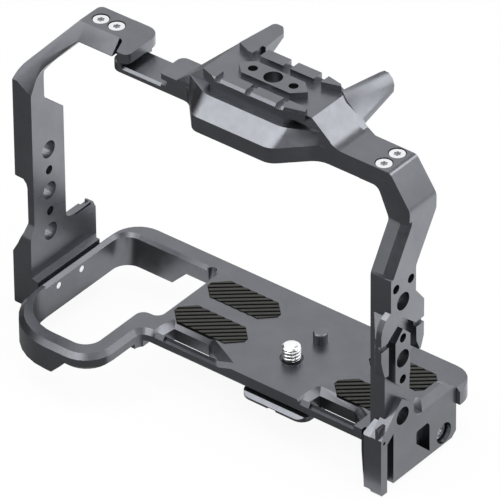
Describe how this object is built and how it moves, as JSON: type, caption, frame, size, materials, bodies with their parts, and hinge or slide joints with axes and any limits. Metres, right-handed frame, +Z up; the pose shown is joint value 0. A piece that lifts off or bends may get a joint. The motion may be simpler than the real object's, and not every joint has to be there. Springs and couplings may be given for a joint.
{
  "type": "camera cage",
  "caption": "Machined cage that clamps round a camera body, with a battery-side loop, accessory shoe, dovetail mounts and a captive camera screw.",
  "frame": {"origin": "axis of the camera screw, at the top face of the base plate", "axes": "+X towards the side dovetail plate (right in the picture), +Y towards the back of the camera, +Z up out of the base"},
  "size_m": [0.1533, 0.071, 0.1226],
  "materials": {
    "anodised": "dark satin anodised",
    "bright_steel": "bright",
    "black_steel": "blackened",
    "pin_steel": "ground",
    "rubber": "ribbed matte"
  },
  "bodies": {
    "cage": {"base_plate": "anodised", "locating_pin": "black_steel", "pad_rear_left": "rubber", "pad_front_left": "rubber", "pad_rear_right": "rubber", "pad_front_right": "rubber", "left_frame": "anodised", "top_bridge": "anodised", "right_frame": "anodised", "side_plate": "anodised", "bottom_plate": "anodised", "left_top_screws": "bright_steel", "right_top_screws": "bright_steel", "left_foot_screws": "bright_steel", "right_foot_screws": "black_steel", "side_plate_screw": "bright_steel", "bottom_plate_screws": "black_steel", "left_foot_pins": "pin_steel", "right_foot_pins": "pin_steel", "bridge_pins": "pin_steel"},
    "clip": {"screw_clip": "black_steel"},
    "screw": {"camera_screw": "bright_steel"}
  },
  "joints": [
    {"name": "screw_lift", "type": "slide", "parent": "cage", "child": "clip", "axis": [0, 0, 1], "range_m": [-0.0015, 0]},
    {"name": "screw_turn", "type": "hinge", "parent": "clip", "child": "screw", "pos_m": [0, 0, 0], "axis": [0, 0, 1], "continuous": true}
  ]
}
